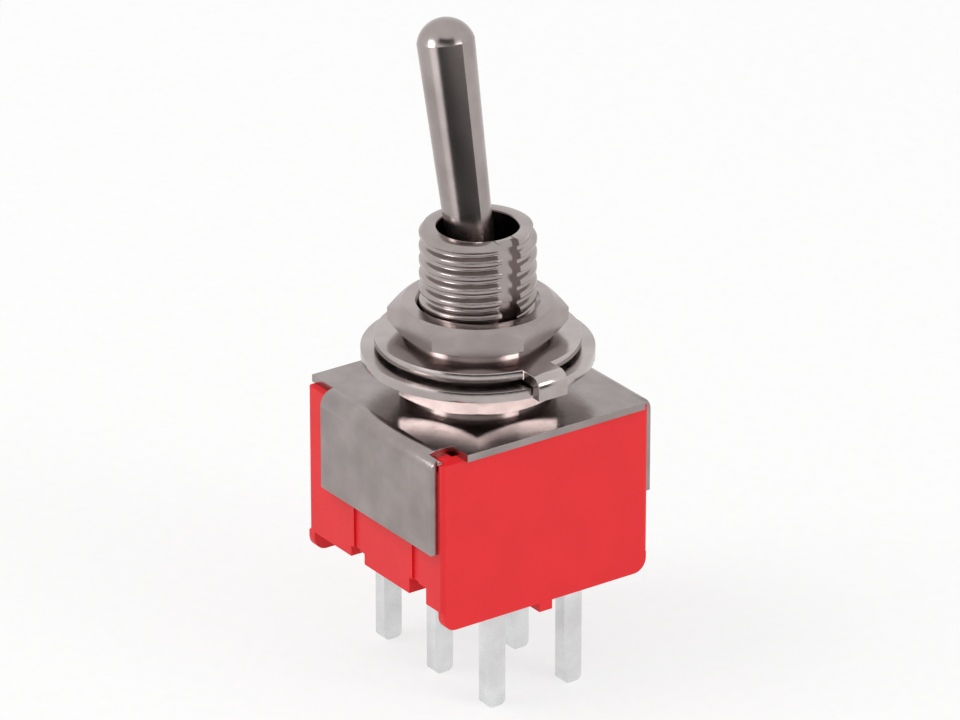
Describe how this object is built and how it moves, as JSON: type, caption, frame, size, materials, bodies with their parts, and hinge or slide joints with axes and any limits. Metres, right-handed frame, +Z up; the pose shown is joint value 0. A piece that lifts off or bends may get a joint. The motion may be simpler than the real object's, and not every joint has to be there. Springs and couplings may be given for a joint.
{
  "type": "miniature toggle switch",
  "caption": "Miniature double-pole panel toggle switch: bat lever, keyed threaded bushing with nuts and washers, U-shaped metal frame on a moulded case, straight board pins.",
  "frame": {"origin": "on the bushing's axis, in the plane of the pin tips", "axes": "+Z up along the bushing, towards the lever's tip; +X is the direction in which the lever swings from its rest, and the side of the keyway and tab; Y runs across the two poles"},
  "size_m": [0.0129, 0.0136, 0.0348],
  "materials": {
    "red_case": "moulded thermoset, slight gloss",
    "seal_resin": "cured epoxy",
    "frame_sheet": "tin-plated steel sheet, satin",
    "bushing_nickel": "nickel-plated brass",
    "nut_nickel": "nickel-plated brass",
    "washer_nickel": "nickel-plated steel",
    "lever_nickel": "nickel-plated brass, polished",
    "white_nylon": "moulded nylon",
    "spring_steel": "drawn wire",
    "silver_contact": "silver-plated brass"
  },
  "bodies": {
    "switch_body": {"case": "red_case", "terminal_seal": "seal_resin", "frame": "frame_sheet", "bushing": "bushing_nickel", "hex_nut_lower": "nut_nickel", "lock_washer": "washer_nickel", "locating_washer": "washer_nickel", "hex_nut_upper": "nut_nickel", "common_terminal_a": "silver_contact", "common_terminal_b": "silver_contact", "throw_terminal_a_front": "silver_contact", "throw_terminal_a_rear": "silver_contact", "throw_terminal_b_front": "silver_contact", "throw_terminal_b_rear": "silver_contact"},
    "lever": {"lever": "lever_nickel", "actuator": "white_nylon", "plunger_spring_a": "spring_steel", "plunger_spring_b": "spring_steel"},
    "plunger_a": {"plunger_a": "white_nylon"},
    "plunger_b": {"plunger_b": "white_nylon"},
    "rocker_a": {"rocker_a": "silver_contact"},
    "rocker_b": {"rocker_b": "silver_contact"}
  },
  "joints": [
    {"name": "lever_tilt", "type": "hinge", "parent": "switch_body", "child": "lever", "pos_m": [0, 0, 0.0203], "axis": [0, 1, 0], "range_deg": [0, 24]},
    {"name": "plunger_a_press", "type": "slide", "parent": "lever", "child": "plunger_a", "axis": [-0.2079, 0, 0.9781], "range_m": [0, 0.00035], "stiffness_N_per_m": 500, "springref_m": -0.001, "deforming": ["plunger_spring_a"]},
    {"name": "plunger_b_press", "type": "slide", "parent": "lever", "child": "plunger_b", "axis": [-0.2079, 0, 0.9781], "range_m": [0, 0.00035], "stiffness_N_per_m": 500, "springref_m": -0.001, "deforming": ["plunger_spring_b"]},
    {"name": "rocker_a_tilt", "type": "hinge", "parent": "switch_body", "child": "rocker_a", "pos_m": [0, -0.0024, 0.0099], "axis": [0, 1, 0], "range_deg": [-12, 0]},
    {"name": "rocker_b_tilt", "type": "hinge", "parent": "switch_body", "child": "rocker_b", "pos_m": [0, 0.0024, 0.0099], "axis": [0, 1, 0], "range_deg": [-12, 0]}
  ],
  "couplings": [
    {"joint": "rocker_a_tilt", "follows": "lever_tilt", "ratio": -0.5},
    {"joint": "rocker_b_tilt", "follows": "lever_tilt", "ratio": -0.5}
  ]
}
